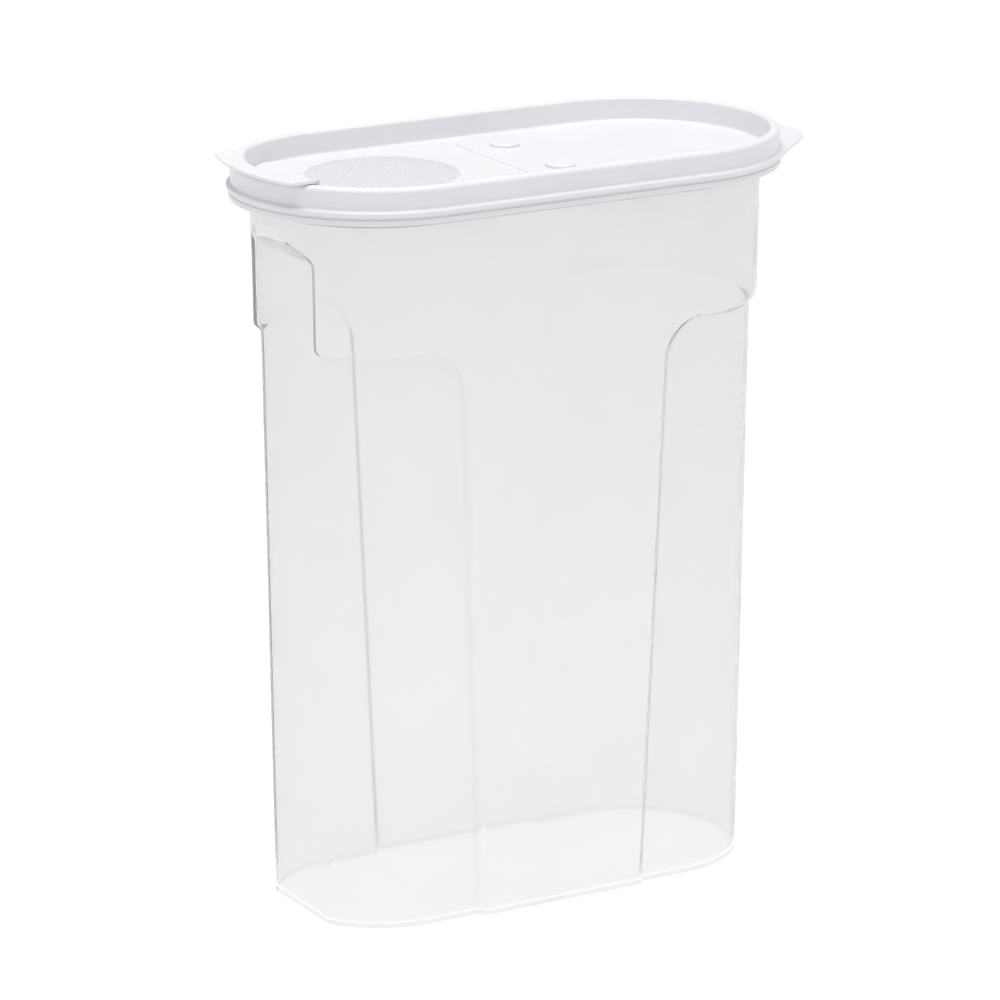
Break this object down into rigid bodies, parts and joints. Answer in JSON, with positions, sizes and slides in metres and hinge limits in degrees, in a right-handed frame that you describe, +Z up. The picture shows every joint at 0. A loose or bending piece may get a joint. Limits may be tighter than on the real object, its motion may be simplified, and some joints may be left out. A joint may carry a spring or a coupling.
{
  "type": "cereal dispenser",
  "caption": "Tall racetrack-shaped translucent dry-food container with grip recesses, a press-on white lid and a flip-up pour flap over a round opening.",
  "frame": {"origin": "middle of the flat base the container stands on, centred between its two half-round ends", "axes": "+Z up, +X along the long side towards the lid's pull tab, -X towards the pouring end, +Y across the narrow side"},
  "size_m": [0.251, 0.1152, 0.3018],
  "materials": {
    "container_plastic": "clear polypropylene with a light frost from the mould",
    "lid_plastic": "satin white polyethylene",
    "flap_plastic": "natural milky polypropylene, cross-hatched on the round disc"
  },
  "bodies": {
    "container_body": {"container": "container_plastic"},
    "lid_body": {"lid": "lid_plastic", "hinge_plate": "flap_plastic"},
    "flap_body": {"flap": "flap_plastic"}
  },
  "joints": [
    {"name": "lid_lift", "type": "slide", "parent": "container_body", "child": "lid_body", "axis": [0, 0, 1], "range_m": [0, 0.06]},
    {"name": "flap_hinge", "type": "hinge", "parent": "lid_body", "child": "flap_body", "pos_m": [-0.005, 0, 0.2927], "axis": [0, 1, 0], "range_deg": [0, 170]}
  ]
}
